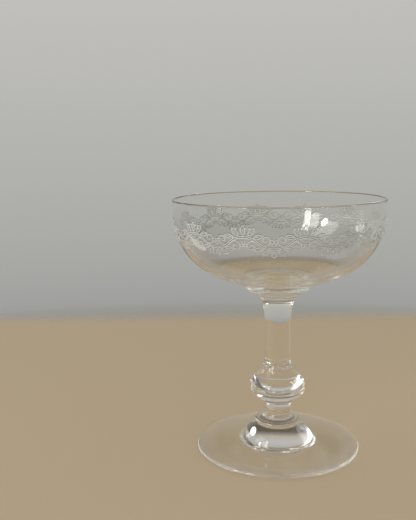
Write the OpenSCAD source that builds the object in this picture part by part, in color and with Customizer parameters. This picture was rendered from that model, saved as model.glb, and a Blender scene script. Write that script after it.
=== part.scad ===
// Coupe glass: a wide blown bowl on a short stem with a bell knop, a merese
// and a cushioned foot. Every piece is a solid of revolution about the upright
// axis, and each one is fused to the next on a flat face of its own.
// Outlines are lists of [radius, height]. Lengths are in millimetres, angles in degrees.

/* [Overall] */
// Height from the table to the rim; the shaft takes up what the other pieces leave
glass_h = 120; // [110:1:140]
// Radius of the rim
rim_r = 49.5; // [44:0.1:56]
// Tint of the glass
glass_tint = "#dde2e0"; // [#dde2e0, #e6e8e4, #d3e0dc]
// Longest straight step along a curve
chord = 1.2; // [0.6:0.1:2.4]
// Largest turn in one step, in degrees
turn_step = 20; // [10:1:30]

/* [Bowl] */
// Thickness of the blown wall
bowl_wall = 1.2; // [0.8:0.1:2]
// Radius of the arc up the wall
wall_arc_r = 100; // [80:1:150]
// Turn of the wall's arc before the shoulder takes over
wall_turn = 5.7; // [3:0.1:9]
// Radius of the shoulder's arc
shoulder_r = 29.1; // [25:0.1:34]
// Radius of the arc across the underside
base_arc_r = 70.4; // [62:0.2:82]
// Radius of the arc across the floor inside; flatter than the underside, so the floor is thick
floor_arc_r = 95; // [86:1:130]

/* [Bowl collar] */
// Radius of the face fused to the bowl
collar_seat_r = 13.4; // [11:0.1:16]
// How far the lip stands out past that face
lip_out = 1.9; // [1.2:0.1:3]
// Radius of the lip's round edge
lip_round = 1; // [0.5:0.05:1.2]
// Step from the top of the lip up to the fused face
lip_rise = 0.5; // [0.2:0.05:0.8]
// Radius of the arc from the shaft out to the cone under the lip
collar_arc_r = 7.8; // [5:0.1:10]
// Lean of that cone from upright
collar_lean = 63; // [50:1:68]

/* [Stem shaft] */
// Radius of the straight stretch
shaft_r = 6.2; // [5:0.05:7.5]
// Share of the height from the knop to the bowl in which the shaft starts to flare
flare_share = 0.245; // [0.15:0.005:0.3]
// Lean of the flare where the collar takes over
flare_lean = 13.5; // [8:0.5:20]

/* [Knop] */
// Height of the knop between its two fused faces
knop_h = 22.4; // [19:0.1:24.5]
// Radius at the widest part
knop_r = 13.4; // [12:0.05:16]
// Height of the widest part above the knop's foot
crown_h = 11.1; // [9.5:0.1:12.5]
// Radius of the rounding at the widest part
crown_round = 5.6; // [3:0.1:7]
// Radius of the hollow sweep up the bell's side
side_arc_r = 12.2; // [10:0.1:18]
// Radius of the hollow sweep under the bell
under_arc_r = 6.8; // [4.5:0.1:9]
// Radius of the neck under the bell
neck_r = 6.15; // [5:0.05:7.5]
// Rounding on each side of the two joins of the knop, which leaves a fine crease
join_round = 0.3; // [0.1:0.05:0.5]

/* [Merese] */
// Height of the merese between its two fused faces
merese_h = 7.8; // [7:0.1:10]
// Radius of the disc
merese_r = 10.85; // [10.5:0.05:13]
// Thickness of the disc, which has a full round edge
merese_t = 2; // [1.4:0.1:2.6]
// Height of the groove between the disc and the cushion
groove_h = 0.8; // [0.4:0.1:1.2]
// Radius of the hollow sweep from the disc up to the neck
sweep_arc_r = 3.4; // [2.6:0.1:3.9]

/* [Foot cushion] */
// Height of the cushion's top above the plate
cushion_h = 8; // [6.5:0.1:10]
// Radius of the cushion's top, where the merese stands
cushion_top_r = 9.9; // [9:0.1:10.4]
// Radius that the cushion's side would reach if it ran down upright
cushion_r = 17.9; // [16:0.1:21]
// Radius of the arc over the cushion's side
cushion_arc_r = 11.5; // [10:0.1:14]

/* [Foot plate] */
// Radius of the foot
foot_r = 39; // [34:0.1:46]
// Thickness of the plate at its round edge
foot_edge_t = 1.5; // [1:0.1:2.2]
// Thickness of the plate where the cushion's fillet lands
foot_t = 3; // [2.2:0.1:4]
// Radius of the fillet between the plate and the cushion
foot_fillet_r = 3; // [2:0.1:4]
// Width of the flat ring that the foot stands on
ring_w = 5; // [3:0.1:8]
// Height of the hollow in the middle of the underside
hollow_h = 0.7; // [0.3:0.1:1.2]

/* [Hidden] */
glass_alpha = 0.45;
same_point = chord / 1000;
$fn = 96;

// Point at an angle on a circle
function on_circle(centre, r, angle) = centre + r * [cos(angle), sin(angle)];

// Arc from one angle to another, in short enough steps
function arc(centre, r, from, to) =
    let (turn = abs(to - from))
    let (steps = max(1, ceil(max(turn * PI / 180 * r / chord, turn / turn_step))))
    [for (i = [0 : steps]) on_circle(centre, r, from + (to - from) * i / steps)];

// Outline with each point once, where two runs share their end
function distinct(points) =
    [for (i = [0 : len(points) - 1])
        if (i == 0 || norm(points[i] - points[i - 1]) > same_point) points[i]];

// Direction from one point to another
function heading(from, to) = atan2(to[1] - from[1], to[0] - from[0]);

// Height above the middle of a circle of radius r at a distance x from its axis
function rise(r, x) = sqrt(r * r - x * x);

// Centre of the sweep that leaves an upright side of radius side_r and rolls
// onto a round edge; up is 1 where the side is above the edge, -1 where it is below
function sweep_centre(side_r, sweep_r, edge, edge_r, up) =
    [side_r + sweep_r, edge[1] + up * rise(sweep_r + edge_r, side_r + sweep_r - edge[0])];

// Angle below level, on the inner side of a sweep, of the point at a height
function sweep_angle(centre, r, h) = asin((centre[1] - h) / r);

// Radius of a sweep's inner side at a height
function sweep_radius(centre, r, h) = centre[0] - r * cos(sweep_angle(centre, r, h));

// Foot plate and foot cushion, with heights from the table
cushion_top_z = foot_t + cushion_h;
cushion_c = [cushion_r - cushion_arc_r,
    cushion_top_z - rise(cushion_arc_r, cushion_top_r - cushion_r + cushion_arc_r)];
fillet_z = foot_t + foot_fillet_r;
fillet_c = [cushion_c[0] + rise(cushion_arc_r + foot_fillet_r, fillet_z - cushion_c[1]), fillet_z];
cushion_lean = heading(cushion_c, fillet_c);
cushion_seat = on_circle(cushion_c, cushion_arc_r, cushion_lean);
edge_round = foot_edge_t / 2;
edge_c = [foot_r - edge_round, edge_round];
edge_to_fillet = fillet_c - edge_c;
plate_slope = atan2(edge_to_fillet[0], edge_to_fillet[1])
    + acos((foot_fillet_r + edge_round) / norm(edge_to_fillet));
ring_in_r = edge_c[0] - ring_w;
hollow_arc_r = (ring_in_r * ring_in_r + hollow_h * hollow_h) / (2 * hollow_h);
hollow_c = [0, hollow_h - hollow_arc_r];
hollow_turn = asin(ring_in_r / hollow_arc_r);

// Knop, with heights from its own foot
crown_c = [knop_r - crown_round, crown_h];
under_c = sweep_centre(neck_r, under_arc_r, crown_c, crown_round, -1);
side_c = sweep_centre(shaft_r, side_arc_r, crown_c, crown_round, 1);
knop_foot_r = sweep_radius(under_c, under_arc_r, max(join_round, under_c[1]));
shaft_foot_r = sweep_radius(side_c, side_arc_r, knop_h + join_round);
knop_top_r = sweep_radius(side_c, side_arc_r, knop_h - join_round);

// Merese, with heights from its own foot
disc_round = merese_t / 2;
disc_c = [merese_r - disc_round, groove_h + disc_round];
neck_c = sweep_centre(knop_foot_r, sweep_arc_r, disc_c, disc_round, 1);

// Where the pieces of the stem start above the table
merese_z = cushion_top_z;
knop_z = merese_z + merese_h;
shaft_z = knop_z + knop_h;

// Bowl, with heights from its rim, so that they run down
wall_c = [rim_r - wall_arc_r, -bowl_wall / 2];
shoulder_c = on_circle(wall_c, wall_arc_r - shoulder_r, -wall_turn);
base_c = [0, shoulder_c[1] + rise(base_arc_r - shoulder_r, shoulder_c[0])];
floor_c = [0, shoulder_c[1] + rise(floor_arc_r - shoulder_r + bowl_wall, shoulder_c[0])];
base_turn = heading(base_c, shoulder_c);
floor_turn = heading(floor_c, shoulder_c);
bowl_seat_z = base_c[1] - rise(base_arc_r, collar_seat_r);

// Flare at the top of the shaft, and bowl collar, with heights from the collar's own foot
flare_h = flare_share * (glass_h + bowl_seat_z - shaft_z);
flare_arc_r = flare_h / sin(flare_lean);
collar_foot_r = shaft_r + flare_arc_r * (1 - cos(flare_lean));
collar_arc_c = on_circle([collar_foot_r, 0], collar_arc_r, -flare_lean);
cone_foot = on_circle(collar_arc_c, collar_arc_r, 180 - collar_lean);
lip_x = collar_seat_r + lip_out - lip_round;
lip_c = [lip_x,
    cone_foot[1] + (cos(collar_lean) * (lip_x - cone_foot[0]) + lip_round) / sin(collar_lean)];
collar_h = lip_c[1] + lip_round + lip_rise;

// Where the collar starts, which sets the shaft's height
collar_z = glass_h + bowl_seat_z - collar_h;
shaft_h = collar_z - shaft_z;

// Turns an outline about the axis, at its height above the table
module turned(outline, z = 0) {
    color(glass_tint, glass_alpha)
        translate([0, 0, z])
            rotate_extrude()
                polygon(distinct(outline));
}

// Plate with a round edge, a flat ring to stand on, a slightly hollow underside
// and a low boss that rolls up into the cushion
module foot_plate() {
    turned(concat(
        [for (p = arc(hollow_c, hollow_arc_r, 90, 90 - hollow_turn)) [p[0], max(0, p[1])]],
        arc(edge_c, edge_round, -90, 90 - plate_slope),
        arc(fillet_c, foot_fillet_r, 270 - plate_slope, 180 + cushion_lean),
        [[0, cushion_seat[1]]]
    ));
}

// Cushion: a low dome of solid glass
module foot_cushion() {
    turned(concat(
        [[0, cushion_seat[1]]],
        arc(cushion_c, cushion_arc_r, cushion_lean, heading(cushion_c, [cushion_top_r, cushion_top_z])),
        [[0, cushion_top_z]]
    ));
}

// Merese: a thin disc with a groove under it and a hollow sweep up to the neck
module merese() {
    turned(concat(
        [[0, 0], [cushion_top_r, 0]],
        arc(disc_c, disc_round, -90, heading(disc_c, neck_c)),
        arc(neck_c, sweep_arc_r, 180 + heading(disc_c, neck_c), 180),
        arc([knop_foot_r - join_round, merese_h - join_round], join_round, 0, 90),
        [[0, merese_h]]
    ), merese_z);
}

// Knop: a bell with a hollow side, a round crown low down and a short neck
module knop() {
    turned(concat(
        [[0, 0]],
        arc([knop_foot_r - join_round, join_round], join_round, -90, 0),
        arc(under_c, under_arc_r,
            180 + sweep_angle(under_c, under_arc_r, max(join_round, under_c[1])),
            heading(under_c, crown_c)),
        arc(crown_c, crown_round, heading(under_c, crown_c) - 180, heading(crown_c, side_c)),
        arc(side_c, side_arc_r, 180 + heading(crown_c, side_c),
            180 + sweep_angle(side_c, side_arc_r, knop_h - join_round)),
        arc([knop_top_r - join_round, knop_h - join_round], join_round, 0, 90),
        [[0, knop_h]]
    ), knop_z);
}

// Shaft: the end of the bell's sweep, a straight stretch and the start of the flare
module stem_shaft() {
    turned(concat(
        [[0, 0]],
        arc([shaft_foot_r - join_round, join_round], join_round, -90, 0),
        arc(side_c - [0, knop_h], side_arc_r,
            180 + sweep_angle(side_c, side_arc_r, knop_h + join_round), 180),
        arc([shaft_r + flare_arc_r, shaft_h - flare_h], flare_arc_r, 180, 180 - flare_lean),
        [[0, shaft_h]]
    ), shaft_z);
}

// Bowl collar: the flared wafer that carries the bowl, with a thin round lip
module bowl_collar() {
    turned(concat(
        [[0, 0]],
        arc(collar_arc_c, collar_arc_r, 180 - flare_lean, 180 - collar_lean),
        arc(lip_c, lip_round, -collar_lean, 90),
        [[collar_seat_r, collar_h], [0, collar_h]]
    ), collar_z);
}

// Bowl: three arcs run into each other outside, three more inside, and the rim is round
module bowl() {
    turned(concat(
        [[0, bowl_seat_z]],
        arc(base_c, base_arc_r, asin(collar_seat_r / base_arc_r) - 90, base_turn),
        arc(shoulder_c, shoulder_r, base_turn, -wall_turn),
        arc(wall_c, wall_arc_r, -wall_turn, 0),
        arc(wall_c + [wall_arc_r - bowl_wall / 2, 0], bowl_wall / 2, 0, 180),
        arc(wall_c, wall_arc_r - bowl_wall, 0, -wall_turn),
        arc(shoulder_c, shoulder_r - bowl_wall, -wall_turn, floor_turn),
        arc(floor_c, floor_arc_r, floor_turn, -90)
    ), glass_h);
}

foot_plate();
foot_cushion();
merese();
knop();
stem_shaft();
bowl_collar();
bowl();
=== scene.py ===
import math
import bpy
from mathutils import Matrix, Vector


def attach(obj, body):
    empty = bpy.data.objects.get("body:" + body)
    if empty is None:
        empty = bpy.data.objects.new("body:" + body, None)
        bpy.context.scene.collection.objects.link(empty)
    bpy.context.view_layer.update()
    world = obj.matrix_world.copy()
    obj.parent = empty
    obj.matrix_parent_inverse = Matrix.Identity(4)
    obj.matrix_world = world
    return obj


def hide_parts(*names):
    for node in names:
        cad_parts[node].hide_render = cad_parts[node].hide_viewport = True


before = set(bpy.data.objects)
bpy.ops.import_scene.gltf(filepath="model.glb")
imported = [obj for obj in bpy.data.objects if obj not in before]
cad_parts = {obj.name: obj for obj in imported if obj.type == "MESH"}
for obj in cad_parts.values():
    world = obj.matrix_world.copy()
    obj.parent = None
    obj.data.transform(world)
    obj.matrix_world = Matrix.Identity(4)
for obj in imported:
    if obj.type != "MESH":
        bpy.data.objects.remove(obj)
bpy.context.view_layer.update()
print("frame loaded")

mm = 0.001
weld = 0.002 * mm  # points closer than this are one


def toLinear(hexColour):
    # sRGB hex to the linear colour that sockets take
    parts = [int(hexColour[i:i + 2], 16) / 255 for i in (1, 3, 5)]
    return [p / 12.92 if p <= 0.04045 else ((p + 0.055) / 1.055) ** 2.4 for p in parts] + [1.0]


def addNode(tree, kind, settings={}, links={}):
    # settings name a socket, by its name or its place, or a property; links name a socket and what feeds it
    node = tree.nodes.new(kind)
    for name, value in settings.items():
        if isinstance(name, int) or name in node.inputs:
            node.inputs[name].default_value = value
        else:
            setattr(node, name, value)
    for socket, source in links.items():
        tree.links.new(source, node.inputs[socket])
    return node


def newMaterial(name):
    material = bpy.data.materials.new(name)
    material.use_nodes = True
    material.node_tree.nodes.clear()
    return material, material.node_tree


def finishGlass(tree, skin, lampTint):
    # lamps shine through glass: only shadow rays meet the tint, all others meet the skin
    tint = addNode(tree, "ShaderNodeBsdfTransparent", {"Color": toLinear(lampTint)})
    rays = addNode(tree, "ShaderNodeLightPath")
    skinOrTint = addNode(tree, "ShaderNodeMixShader", {}, {
        0: rays.outputs["Is Shadow Ray"], 1: skin.outputs[0], 2: tint.outputs[0]})
    addNode(tree, "ShaderNodeOutputMaterial", {}, {"Surface": skinOrTint.outputs[0]})


# Outlines are in millimetres, as [radius, height], and their angles are in degrees. Names end in C for
# a centre, R for a radius, H for a height and Z for a height above the ground.

def onCircle(centre, radius, angle):
    return [centre[0] + radius * math.cos(math.radians(angle)),
            centre[1] + radius * math.sin(math.radians(angle))]


def rise(radius, across):
    # how far a circle stands above its centre, at a distance to the side
    return math.sqrt(radius * radius - across * across)


def heading(start, end):
    return math.degrees(math.atan2(end[1] - start[1], end[0] - start[0]))


def sweepCentre(sideR, sweepR, edge, edgeR, up):
    # centre of a hollow sweep that leaves an upright side and rolls onto a round edge
    return [sideR + sweepR, edge[1] + up * rise(sweepR + edgeR, sideR + sweepR - edge[0])]


def sweepAngle(centre, sweepR, height):
    # the angle below its centre at which the sweep passes this height
    return math.degrees(math.asin((centre[1] - height) / sweepR))


def sweepRadius(centre, sweepR, height):
    # radius of the piece where the sweep passes this height
    return centre[0] - sweepR * math.cos(math.radians(sweepAngle(centre, sweepR, height)))


def selectNone():
    if bpy.context.object and bpy.context.object.mode != "OBJECT":
        bpy.ops.object.mode_set(mode="OBJECT")
    bpy.ops.object.select_all(action="DESELECT")


def selectOnly(piece):
    selectNone()
    piece.select_set(True)
    bpy.context.view_layer.objects.active = piece


def editAll():
    bpy.ops.object.mode_set(mode="EDIT")
    bpy.ops.mesh.select_all(action="SELECT")


def startPoint(name, x, z):
    # a small plane shrunk to one point is the pen that the outline is drawn with
    selectNone()
    bpy.ops.mesh.primitive_plane_add(size=mm, location=(x * mm, 0, z * mm))
    piece = bpy.context.object
    piece.name = piece.data.name = name
    bpy.ops.object.transform_apply(location=True, rotation=True, scale=True)
    bpy.ops.object.mode_set(mode="EDIT")
    bpy.ops.mesh.select_mode(type="VERT")
    bpy.ops.mesh.select_all(action="SELECT")
    bpy.ops.mesh.merge(type="CENTER")
    return piece


# how finely the outlines are stepped, and how level and how near a face is to count as fused
turning = {"aroundSteps": 192, "longestStep": 0.6, "largestTurn": 4.0, "leastTurn": 1e-6,
           "sharpAbove": 34, "levelAbove": 0.9999, "fusedWithin": 0.001}


def drawOutline(name, moves, z):
    # each move is a point, or an arc as (centre, radius, from, to) that starts where the last move ended
    pen = moves[0]
    piece = startPoint(name, pen[0], pen[1] + z)
    for move in moves[1:]:
        if len(move) == 2:
            bpy.ops.mesh.extrude_region_move(TRANSFORM_OT_translate={
                "value": ((move[0] - pen[0]) * mm, 0, (move[1] - pen[1]) * mm)})
            pen = move
            continue
        centre, radius, start, end = move
        turn = end - start
        if abs(turn) < turning["leastTurn"]:
            continue
        steps = max(2, math.ceil(max(math.radians(abs(turn)) * radius / turning["longestStep"],
                                     abs(turn) / turning["largestTurn"])))
        bpy.ops.mesh.spin(steps=steps, angle=math.radians(turn), dupli=False,
                          center=(centre[0] * mm, 0, (centre[1] + z) * mm), axis=(0, 1, 0))
        pen = onCircle(centre, radius, end)
    return piece


def turnPiece(name, moves, z=0):
    # the outline is spun once round the axis, and the seam and the poles are closed
    piece = drawOutline(name, moves, z)
    bpy.ops.mesh.select_all(action="SELECT")
    bpy.ops.mesh.spin(steps=turning["aroundSteps"], angle=2 * math.pi, dupli=False,
                      center=(0, 0, 0), axis=(0, 0, 1))
    bpy.ops.mesh.select_all(action="SELECT")
    bpy.ops.mesh.remove_doubles(threshold=weld)
    bpy.ops.mesh.normals_make_consistent(inside=False)
    bpy.ops.object.mode_set(mode="OBJECT")
    return piece


def finishTurned(piece, node, seams):
    # the faces fused to a neighbour go to the second slot, and their edge stays crisp
    piece.data.materials.append(crystalGlass)
    piece.data.materials.append(fusedSeam)
    bpy.ops.object.mode_set(mode="EDIT")
    bpy.ops.mesh.select_mode(type="FACE")
    bpy.ops.mesh.select_all(action="DESELECT")
    bpy.ops.object.mode_set(mode="OBJECT")
    for face in piece.data.polygons:
        isLevel = abs(face.normal.z) > turning["levelAbove"]
        face.select = isLevel and any(
            abs(face.center.z - height * mm) < turning["fusedWithin"] * mm
            and math.hypot(*face.center[:2]) < reach * mm for height, reach in seams)
    bpy.ops.object.mode_set(mode="EDIT")
    piece.active_material_index = 1
    bpy.ops.object.material_slot_assign()
    bpy.ops.mesh.region_to_loop()
    bpy.ops.mesh.mark_sharp()
    bpy.ops.object.mode_set(mode="OBJECT")
    bpy.ops.object.shade_smooth_by_angle(angle=math.radians(turning["sharpAbove"]))
    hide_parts(node)
    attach(piece, "root")
    print(piece.name, len(piece.data.polygons), "faces")


# Lead crystal, gathered, blown and fire polished: no colour of its own but a trace of warm grey,
# a mirror-smooth skin, and strong bending of the light, which gives dark edges and bright spots.
# The fire left faint swells that make highlights waver. Years of use left a haze of wiping marks, too
# fine to see apart, and a worn matt track on the ring that it stands on.
crystal = {"colour": "#FCFCFA", "ior": 1.545, "roughness": 0.008, "lampTint": "#FAFAF8",
           "swellAcross": 9, "swellHeight": 0.012, "hazeAcross": 2.5, "haze": 0.016,
           "wornTo": 0.35, "worn": 0.2}
crystalGlass, tree = newMaterial("clear lead crystal")
place = addNode(tree, "ShaderNodeTexCoord")
swells = addNode(tree, "ShaderNodeTexNoise", {
    "Scale": 1 / (crystal["swellAcross"] * mm), "Detail": 1.0}, {"Vector": place.outputs["Object"]})
swellSkin = addNode(tree, "ShaderNodeBump", {
    "Strength": 1.0, "Distance": crystal["swellHeight"] * mm}, {"Height": swells.outputs[0]})
wiping = addNode(tree, "ShaderNodeTexNoise", {
    "Scale": 1 / (crystal["hazeAcross"] * mm), "Detail": 3.0}, {"Vector": place.outputs["Object"]})
haze = addNode(tree, "ShaderNodeMapRange", {  # the noise keeps to about 0.3 to 0.7
    "From Min": 0.3, "From Max": 0.7, "To Min": crystal["roughness"],
    "To Max": crystal["roughness"] + crystal["haze"]}, {"Value": wiping.outputs[0]})
axes = addNode(tree, "ShaderNodeSeparateXYZ", {}, {0: place.outputs["Object"]})
wornRing = addNode(tree, "ShaderNodeMapRange", {
    "From Min": crystal["wornTo"] * mm, "From Max": 0.0, "To Min": 0.0, "To Max": crystal["worn"]},
    {"Value": axes.outputs["Z"]})
skinRoughness = addNode(tree, "ShaderNodeMath", {"operation": "ADD"}, {
    0: haze.outputs[0], 1: wornRing.outputs[0]})
crystalSkin = addNode(tree, "ShaderNodeBsdfPrincipled", {
    "Base Color": toLinear(crystal["colour"]), "IOR": crystal["ior"], "Transmission Weight": 1.0},
    {"Roughness": skinRoughness.outputs[0], "Normal": swellSkin.outputs[0]})
finishGlass(tree, crystalSkin, crystal["lampTint"])

# Where two gathers are fused there is no surface left, so light goes straight on.
fusedSeam, tree = newMaterial("fused seam")
seamOpen = addNode(tree, "ShaderNodeBsdfTransparent")
addNode(tree, "ShaderNodeOutputMaterial", {}, {"Surface": seamOpen.outputs[0]})
print("crystal ready")


# Foot plate and cushion, with heights from the ground that the glass stands on
foot = {"radius": 39, "edge": 1.5, "thickness": 3, "fillet": 3, "ring": 5, "hollow": 0.7}
cushion = {"height": 8, "topRadius": 9.9, "sideRadius": 17.9, "arc": 11.5}
cushionTop = foot["thickness"] + cushion["height"]
cushionC = [cushion["sideRadius"] - cushion["arc"],
            cushionTop - rise(cushion["arc"], cushion["topRadius"] - cushion["sideRadius"] + cushion["arc"])]
filletZ = foot["thickness"] + foot["fillet"]
filletC = [cushionC[0] + rise(cushion["arc"] + foot["fillet"], filletZ - cushionC[1]), filletZ]
cushionLean = heading(cushionC, filletC)
cushionSeat = onCircle(cushionC, cushion["arc"], cushionLean)
edgeRound = foot["edge"] / 2
edgeC = [foot["radius"] - edgeRound, edgeRound]
edgeToFillet = [filletC[0] - edgeC[0], filletC[1] - edgeC[1]]
plateSlope = math.degrees(math.atan2(edgeToFillet[0], edgeToFillet[1])
                          + math.acos((foot["fillet"] + edgeRound) / math.hypot(*edgeToFillet)))
ringIn = edgeC[0] - foot["ring"]
hollowR = (ringIn ** 2 + foot["hollow"] ** 2) / (2 * foot["hollow"])
hollowC = [0, foot["hollow"] - hollowR]
hollowTurn = math.degrees(math.asin(ringIn / hollowR))
cushionTopLean = heading(cushionC, [cushion["topRadius"], cushionTop])

footPlate = turnPiece("foot_plate_glass", [
    [0, foot["hollow"]],
    (hollowC, hollowR, 90, 90 - hollowTurn),
    [edgeC[0], 0],
    (edgeC, edgeRound, -90, 90 - plateSlope),
    onCircle(filletC, foot["fillet"], 270 - plateSlope),
    (filletC, foot["fillet"], 270 - plateSlope, 180 + cushionLean),
    [0, cushionSeat[1]]])
finishTurned(footPlate, "foot_plate", [(cushionSeat[1], cushionSeat[0])])

footCushion = turnPiece("foot_cushion_glass", [
    [0, cushionSeat[1]],
    cushionSeat,
    (cushionC, cushion["arc"], cushionLean, cushionTopLean),
    [0, cushionTop]])
finishTurned(footCushion, "foot_cushion", [
    (cushionSeat[1], cushionSeat[0]), (cushionTop, cushion["topRadius"])])

# Merese and knop, with heights from each one's own foot. The knop's sweep runs on into the shaft.
merese = {"height": 7.8, "radius": 10.85, "disc": 2, "groove": 0.8, "sweep": 3.4}
knop = {"height": 22.4, "radius": 13.4, "crown": 11.1, "crownRound": 5.6,
        "side": 12.2, "under": 6.8, "neck": 6.15}
shaft = {"radius": 6.2, "flareShare": 0.245, "flareLean": 13.5}
joinRound = 0.3  # rounds the edges where neck, knop and shaft meet

crownC = [knop["radius"] - knop["crownRound"], knop["crown"]]
underC = sweepCentre(knop["neck"], knop["under"], crownC, knop["crownRound"], -1)
underFrom = max(joinRound, underC[1])
sideC = sweepCentre(shaft["radius"], knop["side"], crownC, knop["crownRound"], 1)
knopFoot = sweepRadius(underC, knop["under"], underFrom)
shaftFoot = sweepRadius(sideC, knop["side"], knop["height"] + joinRound)
knopTop = sweepRadius(sideC, knop["side"], knop["height"] - joinRound)
discRound = merese["disc"] / 2
discC = [merese["radius"] - discRound, merese["groove"] + discRound]
neckC = sweepCentre(knopFoot, merese["sweep"], discC, discRound, 1)
mereseZ = cushionTop
knopZ = mereseZ + merese["height"]
shaftZ = knopZ + knop["height"]

mereseDisc = turnPiece("merese_glass", [
    [0, 0],
    [cushion["topRadius"], 0],
    [discC[0], discC[1] - discRound],
    (discC, discRound, -90, heading(discC, neckC)),
    (neckC, merese["sweep"], 180 + heading(discC, neckC), 180),
    [knopFoot, merese["height"] - joinRound],
    ([knopFoot - joinRound, merese["height"] - joinRound], joinRound, 0, 90),
    [0, merese["height"]]], mereseZ)
finishTurned(mereseDisc, "merese", [(mereseZ, cushion["topRadius"]), (knopZ, knopFoot)])

knopBell = turnPiece("knop_glass", [
    [0, 0],
    [knopFoot - joinRound, 0],
    ([knopFoot - joinRound, joinRound], joinRound, -90, 0),
    (underC, knop["under"], 180 + sweepAngle(underC, knop["under"], underFrom), heading(underC, crownC)),
    (crownC, knop["crownRound"], heading(underC, crownC) - 180, heading(crownC, sideC)),
    (sideC, knop["side"], 180 + heading(crownC, sideC),
     180 + sweepAngle(sideC, knop["side"], knop["height"] - joinRound)),
    ([knopTop - joinRound, knop["height"] - joinRound], joinRound, 0, 90),
    [0, knop["height"]]], knopZ)
finishTurned(knopBell, "knop", [(knopZ, knopFoot), (shaftZ, knopTop)])

# Bowl arcs, with heights from its rim. They come before the collar, which reaches up to the bowl's seat.
bowl = {"rimZ": 120, "rim": 49.5, "wall": 1.2, "wallArc": 100, "wallTurn": 5.7, "shoulder": 29.1,
        "base": 70.4, "floor": 95, "ringsOut": 16.8, "ringLength": 5.6, "ringHeight": 0.26, "ringStep": 0.4}
collar = {"seat": 13.4, "lipOut": 1.9, "lipRound": 1, "lipRise": 0.5, "arc": 7.8, "lean": 63}
wallC = [bowl["rim"] - bowl["wallArc"], -bowl["wall"] / 2]
shoulderC = onCircle(wallC, bowl["wallArc"] - bowl["shoulder"], -bowl["wallTurn"])
baseC = [0, shoulderC[1] + rise(bowl["base"] - bowl["shoulder"], shoulderC[0])]
floorC = [0, shoulderC[1] + rise(bowl["floor"] - bowl["shoulder"] + bowl["wall"], shoulderC[0])]
baseTurn = heading(baseC, shoulderC)
floorTurn = heading(floorC, shoulderC)
bowlSeat = baseC[1] - rise(bowl["base"], collar["seat"])

# Shaft and bowl collar, with heights from each one's own foot
flareH = shaft["flareShare"] * (bowl["rimZ"] + bowlSeat - shaftZ)
flareR = flareH / math.sin(math.radians(shaft["flareLean"]))
collarFoot = shaft["radius"] + flareR * (1 - math.cos(math.radians(shaft["flareLean"])))
collarArcC = onCircle([collarFoot, 0], collar["arc"], -shaft["flareLean"])
coneFoot = onCircle(collarArcC, collar["arc"], 180 - collar["lean"])
lipX = collar["seat"] + collar["lipOut"] - collar["lipRound"]
lean = math.radians(collar["lean"])
lipC = [lipX, coneFoot[1] + (math.cos(lean) * (lipX - coneFoot[0]) + collar["lipRound"]) / math.sin(lean)]
collarH = lipC[1] + collar["lipRound"] + collar["lipRise"]
collarZ = bowl["rimZ"] + bowlSeat - collarH
shaftH = collarZ - shaftZ

stemShaft = turnPiece("stem_shaft_glass", [
    [0, 0],
    [shaftFoot - joinRound, 0],
    ([shaftFoot - joinRound, joinRound], joinRound, -90, 0),
    ([sideC[0], sideC[1] - knop["height"]], knop["side"],
     180 + sweepAngle(sideC, knop["side"], knop["height"] + joinRound), 180),
    [shaft["radius"], shaftH - flareH],
    ([shaft["radius"] + flareR, shaftH - flareH], flareR, 180, 180 - shaft["flareLean"]),
    [0, shaftH]], shaftZ)
finishTurned(stemShaft, "stem_shaft", [(shaftZ, shaftFoot), (collarZ, collarFoot)])

bowlCollar = turnPiece("bowl_collar_glass", [
    [0, 0],
    [collarFoot, 0],
    (collarArcC, collar["arc"], 180 - shaft["flareLean"], 180 - collar["lean"]),
    onCircle(lipC, collar["lipRound"], -collar["lean"]),
    (lipC, collar["lipRound"], -collar["lean"], 90),
    [collar["seat"], lipC[1] + collar["lipRound"]],
    [collar["seat"], collarH],
    [0, collarH]], collarZ)
finishTurned(bowlCollar, "bowl_collar", [(collarZ, collarFoot), (collarZ + collarH, collar["seat"])])

# The inner floor keeps faint rings from the shaping, highest halfway out and gone at both ends
ringsTurn = math.degrees(math.asin(bowl["ringsOut"] / bowl["floor"]))
ringPoints = []
for i in range(1, round(bowl["ringsOut"] / bowl["ringStep"]) + 1):
    out = bowl["ringsOut"] - i * bowl["ringStep"]
    isInside = 0 < out < bowl["ringsOut"]
    swell = bowl["ringHeight"] * math.sin(math.pi * out / bowl["ringsOut"]) ** 0.5 if isInside else 0
    ringPoints.append([max(out, 0), floorC[1] - rise(bowl["floor"], out)
                       + swell * math.sin(2 * math.pi * out / bowl["ringLength"])])
rimC = [wallC[0] + bowl["wallArc"] - bowl["wall"] / 2, wallC[1]]
blownBowl = turnPiece("bowl_glass", [
    [0, bowlSeat],
    [collar["seat"], bowlSeat],
    (baseC, bowl["base"], math.degrees(math.asin(collar["seat"] / bowl["base"])) - 90, baseTurn),
    (shoulderC, bowl["shoulder"], baseTurn, -bowl["wallTurn"]),
    (wallC, bowl["wallArc"], -bowl["wallTurn"], 0),
    (rimC, bowl["wall"] / 2, 0, 180),
    (wallC, bowl["wallArc"] - bowl["wall"], 0, -bowl["wallTurn"]),
    (shoulderC, bowl["shoulder"] - bowl["wall"], -bowl["wallTurn"], floorTurn),
    (floorC, bowl["floor"], floorTurn, ringsTurn - 90),
    *ringPoints], bowl["rimZ"])
finishTurned(blownBowl, "bowl", [(bowl["rimZ"] + bowlSeat, collar["seat"])])
print("glass pieces turned")


def joinInto(piece, other):
    selectOnly(piece)
    other.select_set(True)
    bpy.ops.object.join()


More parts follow.
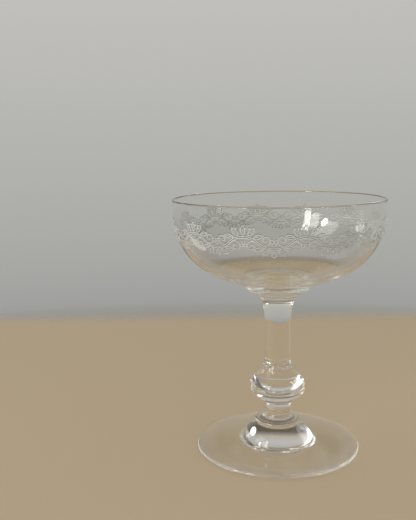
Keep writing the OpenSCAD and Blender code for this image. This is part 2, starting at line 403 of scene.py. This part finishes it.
def spinLine(name, x, z, arcs, width):
    # a short edge across the line, spun about each centre in turn, leaves a flat ribbon
    selectNone()
    bpy.ops.mesh.primitive_plane_add(size=width * mm, location=(x * mm, 0, z * mm),
                                     rotation=(math.pi / 2, 0, 0))
    piece = bpy.context.object
    piece.name = piece.data.name = name
    bpy.ops.object.transform_apply(location=True, rotation=True, scale=True)
    bpy.ops.object.mode_set(mode="EDIT")
    bpy.ops.mesh.select_mode(type="VERT")
    bpy.ops.mesh.select_all(action="SELECT")
    bpy.ops.transform.resize(value=(1, 1, 0), center_override=(x * mm, 0, z * mm))
    bpy.ops.mesh.remove_doubles(threshold=weld)
    bpy.ops.transform.rotate(value=math.radians(heading(arcs[0][0], [x, z])), orient_axis="Y",
                             orient_type="GLOBAL", center_override=(x * mm, 0, z * mm))
    for centre, turn, step in arcs:
        bpy.ops.mesh.spin(steps=math.ceil(abs(turn) / step), angle=math.radians(turn), dupli=False,
                          center=(centre[0] * mm, 0, centre[1] * mm), axis=(0, 1, 0))
    bpy.ops.mesh.select_all(action="SELECT")
    bpy.ops.mesh.remove_doubles(threshold=weld)
    bpy.ops.object.mode_set(mode="OBJECT")
    return piece


def lensLeaf(name, base, lean, length, width, lineWidth=None):
    # two arcs from the base to the tip and back, filled, and an inset opens a leaf to an outline
    radius = (length * length + width * width) / 4 / width
    turn = 4 * math.atan(width / length)
    piece = startPoint(name, *base)
    for side in (-1, 1):
        centre = [base[0] + side * (radius - width / 2), base[1] + length / 2]
        bpy.ops.mesh.spin(steps=band["leafSteps"], angle=turn, dupli=False,
                          center=(centre[0] * mm, 0, centre[1] * mm), axis=(0, 1, 0))
    bpy.ops.mesh.select_all(action="SELECT")
    bpy.ops.mesh.remove_doubles(threshold=weld)
    bpy.ops.mesh.edge_face_add()
    if lineWidth:
        bpy.ops.mesh.select_mode(type="FACE")
        bpy.ops.mesh.select_all(action="SELECT")
        bpy.ops.mesh.inset(thickness=lineWidth * mm, depth=0)
        bpy.ops.mesh.delete(type="ONLY_FACE")
        bpy.ops.mesh.select_mode(type="VERT")
    bpy.ops.mesh.select_all(action="SELECT")
    bpy.ops.transform.rotate(value=math.radians(-lean), orient_axis="Y", orient_type="GLOBAL",
                             center_override=(base[0] * mm, 0, base[1] * mm))
    bpy.ops.object.mode_set(mode="OBJECT")
    return piece


def curl(start, lean, side):
    # arcs that run on from each other and draw a tendril in, to one side
    arcs = []
    for radius, turn in band["tendrilArcs"]:
        centre = onCircle(start, radius, lean + side * 90)
        arcs.append((centre, side * turn, band["tendrilStep"]))
        lean += side * turn
        start = onCircle(centre, radius, lean - side * 90)
    return arcs


def useModifier(piece, kind, **settings):
    modifier = piece.modifiers.new(kind.lower(), kind)
    for name, value in settings.items():
        setattr(modifier, name, value)
    selectOnly(piece)
    bpy.ops.object.modifier_apply(modifier=modifier.name)


# Etched leaf band: one spray is drawn flat at the front, turned over for the next, repeated and wrapped.
# The vine is a wave of round arcs. Angles are from its crest, and distances are out from its lines.
band = {
    "middle": 104.7, "sprays": 12, "wrapRadius": 50.5, "lineWidth": 0.3, "fineWidth": 0.2,
    # the last two place the grey layer of painted shade along the lines
    "relief": 0.03, "gap": 0.05, "paintedShadeGap": 0.015, "paintedShadeRise": 0.24,
    "vineLean": 46, "vineGap": 0.8, "vineStep": 5,
    "leafLeans": (-78, -39, 0, 39, 78), "leafSpread": 0.33, "leafOff": 0.35,
    "leafLength": 4.5, "leafWidth": 2.1, "leafSteps": 9, "ribFrom": 1.0, "ribShare": 0.6,
    "tendrilFrom": 37, "tendrilLean": 53, "tendrilStep": 15,
    "tendrilArcs": ((2.3, 165), (1.45, 150), (0.8, 150)),  # radius, turn
    "seed": 0.3, "seedStep": 45, "seedPlaces": ((6.5, 3.4), (13, 3.6), (30, 1.5)),  # angle, distance
    "berry": 0.7, "berryStep": 30, "berryPlaces": ((0, -2.4), (0.9, -3.8), (-0.9, -3.8)),  # across, up
}
period = 2 * math.pi * band["wrapRadius"] / band["sprays"]
vineR = period / 4 / math.sin(math.radians(band["vineLean"]))
vineOut = vineR + band["vineGap"] / 2
vineIn = vineR - band["vineGap"] / 2
crestC = [period / 4, band["middle"] - vineR * math.cos(math.radians(band["vineLean"]))]
crestZ = crestC[1] + vineR
vineArc = [(crestC, -2 * band["vineLean"], band["vineStep"])]

leafBand = spinLine("etched_leaf_band", *onCircle(crestC, vineOut, 90 + band["vineLean"]), vineArc,
                    band["lineWidth"])
joinInto(leafBand, spinLine("vine", *onCircle(crestC, vineIn, 90 + band["vineLean"]), vineArc,
                            band["lineWidth"]))
for lean in band["leafLeans"]:
    base = onCircle(crestC, vineOut + band["leafOff"], 90 - lean * band["leafSpread"])
    joinInto(leafBand, lensLeaf("leaf", base, lean, band["leafLength"], band["leafWidth"],
                                band["lineWidth"]))
    ribBase = onCircle(base, band["ribFrom"], 90 - lean)
    joinInto(leafBand, lensLeaf("rib", ribBase, lean, band["leafLength"] * band["ribShare"],
                                band["fineWidth"]))
for side in (-1, 1):
    root = onCircle(crestC, vineIn, 90 - side * band["tendrilFrom"])
    joinInto(leafBand, spinLine("tendril", *root, curl(root, 90 + side * band["tendrilLean"], side),
                                band["lineWidth"]))
    for angle, out in band["seedPlaces"]:
        seedC = onCircle(crestC, vineOut + out, 90 - side * angle)
        joinInto(leafBand, spinLine("seed", seedC[0] + band["seed"], seedC[1],
                                    [(seedC, 360, band["seedStep"])], band["fineWidth"]))
for across, up in band["berryPlaces"]:
    berryC = [crestC[0] + across, crestZ + up]
    joinInto(leafBand, spinLine("berry", berryC[0] + band["berry"], berryC[1],
                                [(berryC, 360, band["berryStep"])], band["fineWidth"]))

# the hollow of the wave is the crest turned over, about the point where the two meet
selectOnly(leafBand)
editAll()
bpy.ops.mesh.duplicate()
bpy.ops.transform.rotate(value=math.pi, orient_axis="Y", orient_type="GLOBAL",
                         center_override=(period / 2 * mm, 0, band["middle"] * mm))
bpy.ops.mesh.select_mode(type="FACE")
bpy.ops.mesh.select_all(action="DESELECT")
bpy.ops.object.mode_set(mode="OBJECT")
for face in leafBand.data.polygons:
    face.select = face.normal.y > 0
bpy.ops.object.mode_set(mode="EDIT")
bpy.ops.mesh.flip_normals()
bpy.ops.object.mode_set(mode="OBJECT")
useModifier(leafBand, "ARRAY", count=band["sprays"], use_relative_offset=False, use_constant_offset=True,
            constant_offset_displace=(period * mm, 0, 0), use_merge_vertices=True, merge_threshold=weld)
reach = [v.co.x for v in leafBand.data.vertices]
useModifier(leafBand, "SIMPLE_DEFORM", deform_method="BEND", deform_axis="Z",
            angle=(max(reach) - min(reach)) / (band["wrapRadius"] * mm))
editAll()
bpy.ops.transform.translate(value=(0, -band["wrapRadius"] * mm, 0))
bpy.ops.mesh.remove_doubles(threshold=weld)
bpy.ops.object.mode_set(mode="OBJECT")

# Painted shade: a thin grey layer just above and behind each matt line, for the dark upper side of the bite
selectOnly(leafBand)
bpy.ops.object.duplicate()
paintedShadeLines = bpy.context.object
paintedShadeLines.name = paintedShadeLines.data.name = "etched_line_painted_shade"
editAll()
bpy.ops.transform.translate(value=(0, 0, band["paintedShadeRise"] * mm))
bpy.ops.object.mode_set(mode="OBJECT")
for piece, gap in ((leafBand, band["gap"]), (paintedShadeLines, band["paintedShadeGap"])):
    useModifier(piece, "SHRINKWRAP", target=blownBowl, wrap_method="NEAREST_SURFACEPOINT",
                wrap_mode="ABOVE_SURFACE", offset=gap * mm)
    useModifier(piece, "SOLIDIFY", thickness=band["relief"] * mm, offset=1)

# Acid-etched glass: the bite leaves a fine matt skin that scatters light, so a line looks pale and milky
# where light falls on it, and a little darker than clear glass with brightness behind it. Its grain is
# drawn ten times as coarse as real, to show at all.
etching = {"colour": "#F1F1EE", "ior": 1.545, "roughness": 0.42, "lampTint": "#D8D8D4",
           "milk": 0.6, "milkColour": "#E9E9E6", "milkRoughness": 0.6,
           "grainAcross": 0.2, "grainHeight": 0.02}
etchedGlass, tree = newMaterial("acid-etched crystal")
place = addNode(tree, "ShaderNodeTexCoord")
grain = addNode(tree, "ShaderNodeTexNoise", {
    "Scale": 1 / (etching["grainAcross"] * mm), "Detail": 2.0}, {"Vector": place.outputs["Object"]})
grainSkin = addNode(tree, "ShaderNodeBump", {
    "Strength": 1.0, "Distance": etching["grainHeight"] * mm}, {"Height": grain.outputs[0]})
etchedSkin = addNode(tree, "ShaderNodeBsdfPrincipled", {
    "Base Color": toLinear(etching["colour"]), "Roughness": etching["roughness"],
    "IOR": etching["ior"], "Transmission Weight": 1.0}, {"Normal": grainSkin.outputs[0]})
milk = addNode(tree, "ShaderNodeBsdfPrincipled", {
    "Base Color": toLinear(etching["milkColour"]), "Roughness": etching["milkRoughness"]},
    {"Normal": grainSkin.outputs[0]})
milky = addNode(tree, "ShaderNodeMixShader", {0: etching["milk"]}, {
    1: etchedSkin.outputs[0], 2: milk.outputs[0]})
finishGlass(tree, milky, etching["lampTint"])
leafBand.data.materials.append(etchedGlass)

# Painted shade: a steep bitten side throws light aside and looks dark, so this layer's glass is tinted grey.
paintedShadeFinish = {"colour": "#98958C", "ior": 1.545, "roughness": 0.2, "lampTint": "#E2E2DE"}
paintedShadeGlass, tree = newMaterial("etched line painted shade, crystal")
paintedShadeSkin = addNode(tree, "ShaderNodeBsdfPrincipled", {
    "Base Color": toLinear(paintedShadeFinish["colour"]), "Roughness": paintedShadeFinish["roughness"],
    "IOR": paintedShadeFinish["ior"], "Transmission Weight": 1.0})
finishGlass(tree, paintedShadeSkin, paintedShadeFinish["lampTint"])
paintedShadeLines.data.materials.append(paintedShadeGlass)
for piece in (leafBand, paintedShadeLines):
    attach(piece, "root")
    print(piece.name, len(piece.data.polygons), "faces")
print("leaf band wrapped")

bpy.context.scene.view_settings.view_transform = "Standard"

# Floor: plain and pale, and faded out at its edges, so that it meets the backdrop softly
stage = {"colour": "#B09D7F", "roughness": 0.55, "specular": 0.3, "under": 0.03, "half": 0.262,
         "fade": 0.026, "fadeOut": 0.6, "cornerRound": 0.05}
selectNone()
bpy.ops.mesh.primitive_plane_add(size=2, location=(0, 0, -stage["under"] * mm))
floor = bpy.context.object
floor.name = "floor"
bpy.ops.transform.resize(value=(stage["half"] + stage["fade"], stage["half"] + stage["fade"], 1))
bpy.ops.object.transform_apply(location=True, rotation=True, scale=True)
floorPaint, tree = newMaterial("pale warm floor")
place = addNode(tree, "ShaderNodeTexCoord")
axes = addNode(tree, "ShaderNodeSeparateXYZ", {}, {0: place.outputs["Object"]})
across = addNode(tree, "ShaderNodeMath", {"operation": "ABSOLUTE"}, {0: axes.outputs["X"]})
along = addNode(tree, "ShaderNodeMath", {"operation": "ABSOLUTE"}, {0: axes.outputs["Y"]})
outward = addNode(tree, "ShaderNodeMath", {"operation": "SMOOTH_MAX", 2: stage["cornerRound"]}, {
    0: across.outputs[0], 1: along.outputs[0]})
fade = addNode(tree, "ShaderNodeMapRange", {
    "interpolation_type": "SMOOTHSTEP", "From Min": stage["half"] - stage["fade"],
    "From Max": stage["half"] + stage["fade"] * stage["fadeOut"]}, {"Value": outward.outputs[0]})
paint = addNode(tree, "ShaderNodeBsdfPrincipled", {
    "Base Color": toLinear(stage["colour"]), "Roughness": stage["roughness"],
    "Specular IOR Level": stage["specular"]})
floorGone = addNode(tree, "ShaderNodeBsdfTransparent")
paintOrGone = addNode(tree, "ShaderNodeMixShader", {}, {
    0: fade.outputs[0], 1: paint.outputs[0], 2: floorGone.outputs[0]})
addNode(tree, "ShaderNodeOutputMaterial", {}, {"Surface": paintOrGone.outputs[0]})
floor.data.materials.append(floorPaint)
print("floor laid")

# Backdrop: its tones go by the height of the line of sight, from -1 straight down to 1 straight up.
# The camera sees those up to about 0.2, and the dim band and the paler top show only in the glass.
# Far to the sides and above 0.26 it is dim as well.
backdrop = {
    "tones": (
        (-1.0, "#6E6252"), (-0.4, "#85796A"), (-0.26, "#8E897F"), (-0.228, "#989790"),
        (-0.216, "#A0A19F"), (-0.175, "#A6A6A3"), (-0.122, "#ABABA8"), (-0.058, "#B0B1AC"),
        (0.028, "#B5B6B2"), (0.108, "#BCBBB8"), (0.179, "#C0BFBC"), (0.23, "#BCB9B2"),
        (0.31, "#B8B2A6"), (0.38, "#90897C"), (0.45, "#5A544A"), (0.57, "#58524A"),
        (0.66, "#78736A"), (0.8, "#8A857A"), (1.0, "#B3AD9F")),
    "sides": "#5E5A53", "sidesFrom": 0.35, "sidesFull": 0.75, "sidesAbove": 0.26, "sidesFullAbove": 0.38,
    "ambient": "#F2F3F5", "ambientStrength": 0.85,
}
world = bpy.data.worlds.new("soft room")
bpy.context.scene.world = world
world.use_nodes = True
tree = world.node_tree
tree.nodes.clear()
direction = addNode(tree, "ShaderNodeTexCoord")
axes = addNode(tree, "ShaderNodeSeparateXYZ", {}, {0: direction.outputs["Generated"]})
height = addNode(tree, "ShaderNodeMapRange", {"From Min": -1.0, "From Max": 1.0}, {
    "Value": axes.outputs["Z"]})
tones = addNode(tree, "ShaderNodeValToRGB", {}, {"Fac": height.outputs[0]})
ramp = tones.color_ramp
while len(ramp.elements) < len(backdrop["tones"]):
    ramp.elements.new(0.5)  # anywhere, as each gets its place below
for element, (z, colour) in zip(ramp.elements, backdrop["tones"]):
    element.position = (z + 1) / 2
    element.color = toLinear(colour)
aside = addNode(tree, "ShaderNodeMath", {"operation": "ABSOLUTE"}, {0: axes.outputs["X"]})
sideward = addNode(tree, "ShaderNodeMapRange", {
    "interpolation_type": "SMOOTHSTEP", "From Min": backdrop["sidesFrom"],
    "From Max": backdrop["sidesFull"]}, {"Value": aside.outputs[0]})
upward = addNode(tree, "ShaderNodeMapRange", {
    "interpolation_type": "SMOOTHSTEP", "From Min": backdrop["sidesAbove"],
    "From Max": backdrop["sidesFullAbove"]}, {"Value": axes.outputs["Z"]})
sideShare = addNode(tree, "ShaderNodeMath", {"operation": "MULTIPLY"}, {
    0: sideward.outputs[0], 1: upward.outputs[0]})
toneOrSides = addNode(tree, "ShaderNodeMix", {"data_type": "RGBA", 7: toLinear(backdrop["sides"])}, {
    0: sideShare.outputs[0], 6: tones.outputs["Color"]})
seen = addNode(tree, "ShaderNodeBackground", {"Strength": 1.0}, {"Color": toneOrSides.outputs[2]})

# The camera, reflections and glass see the tones. Surfaces are lit by a plain even light instead, and
# so is the floor where its light comes through the glass.
ambient = addNode(tree, "ShaderNodeBackground", {
    "Color": toLinear(backdrop["ambient"]), "Strength": backdrop["ambientStrength"]})
rays = addNode(tree, "ShaderNodeLightPath")
cameraOrGloss = addNode(tree, "ShaderNodeMath", {"operation": "MAXIMUM"}, {
    0: rays.outputs["Is Camera Ray"], 1: rays.outputs["Is Glossy Ray"]})
orGlass = addNode(tree, "ShaderNodeMath", {"operation": "MAXIMUM"}, {
    0: cameraOrGloss.outputs[0], 1: rays.outputs["Is Transmission Ray"]})
beforeFloor = addNode(tree, "ShaderNodeMath", {"operation": "LESS_THAN", 1: 0.5}, {
    0: rays.outputs["Diffuse Depth"]})
sight = addNode(tree, "ShaderNodeMath", {"operation": "MULTIPLY"}, {
    0: orGlass.outputs[0], 1: beforeFloor.outputs[0]})
seenOrAmbient = addNode(tree, "ShaderNodeMixShader", {}, {
    0: sight.outputs[0], 1: ambient.outputs[0], 2: seen.outputs[0]})
addNode(tree, "ShaderNodeOutputWorld", {}, {"Surface": seenOrAmbient.outputs[0]})
print("backdrop set")

# Soft windows, turned to the glass and seen only in it: azimuth to the left of the camera's side,
# elevation and roll in degrees, size across and up in metres, and glow, the brightness of the face
windows = [
    {"name": "window bright pane", "azimuth": 43.1, "elevation": 25, "size": (0.34, 1.84), "glow": 7.0,
     "roll": 4.5},
    {"name": "window pale pane", "azimuth": 53.2, "elevation": 25, "size": (0.44, 1.4), "glow": 3.0,
     "roll": 4.5},
    {"name": "round lamp", "azimuth": 66.8, "elevation": 24, "size": (0.36, 0.66), "glow": 8.0,
     "shape": "ELLIPSE"},
    {"name": "left window", "azimuth": 77, "elevation": 36, "size": (0.92, 1.44), "glow": 1.5},
    {"name": "rear left window", "azimuth": 123, "elevation": 16, "size": (0.7, 0.5), "glow": 2.4},
    {"name": "rear right window", "azimuth": 221, "elevation": 22, "size": (0.6, 0.86), "glow": 1.2,
     "shape": "ELLIPSE"},
]
windowAim = Vector((0, 0, 0.105))  # the bowl
windowAway = 2.6  # metres from the bowl
for window in windows:
    azimuth = math.radians(window["azimuth"])
    elevation = math.radians(window["elevation"])
    side = Vector((-math.sin(azimuth) * math.cos(elevation), -math.cos(azimuth) * math.cos(elevation),
                   math.sin(elevation)))
    width, tall = window["size"]
    selectNone()
    bpy.ops.object.light_add(type="AREA", location=windowAim + side * windowAway)
    lamp = bpy.context.object
    lamp.name = window["name"]
    lamp.data.shape = window.get("shape", "RECTANGLE")
    lamp.data.size = width
    lamp.data.size_y = tall
    lamp.data.energy = window["glow"] * math.pi * width * tall
    lamp.visible_camera = False
    lamp.rotation_euler = side.to_track_quat("Z", "Y").to_euler()
    lamp.rotation_euler.rotate_axis("Z", math.radians(window.get("roll", 0)))
print(len(windows), "windows hung")

# Camera at the photograph's angle: near, a little above the rim and tipped down. Its place is in metres,
# down and roll are in degrees, and lens and sensor in millimetres.
camera = {"place": (-0.0329, -0.3337, 0.1460), "down": 9.33, "roll": -0.70, "lens": 49.82, "sensor": 36}
selectNone()
bpy.ops.object.camera_add(location=camera["place"])
eye = bpy.context.object
eye.name = "camera"
eye.rotation_euler = (math.radians(90 - camera["down"]), 0, 0)
eye.rotation_euler.rotate_axis("Z", math.radians(camera["roll"]))
eye.data.lens = camera["lens"]
eye.data.sensor_width = camera["sensor"]
bpy.context.scene.camera = eye
print("camera placed")

# Light turns back many times inside thick glass: with fewer bounces its edges go black
bounces = {"glass": 96, "open": 64}
bpy.context.scene.cycles.max_bounces = bounces["glass"]
bpy.context.scene.cycles.transmission_bounces = bounces["glass"]
bpy.context.scene.cycles.glossy_bounces = bounces["glass"]
bpy.context.scene.cycles.transparent_max_bounces = bounces["open"]
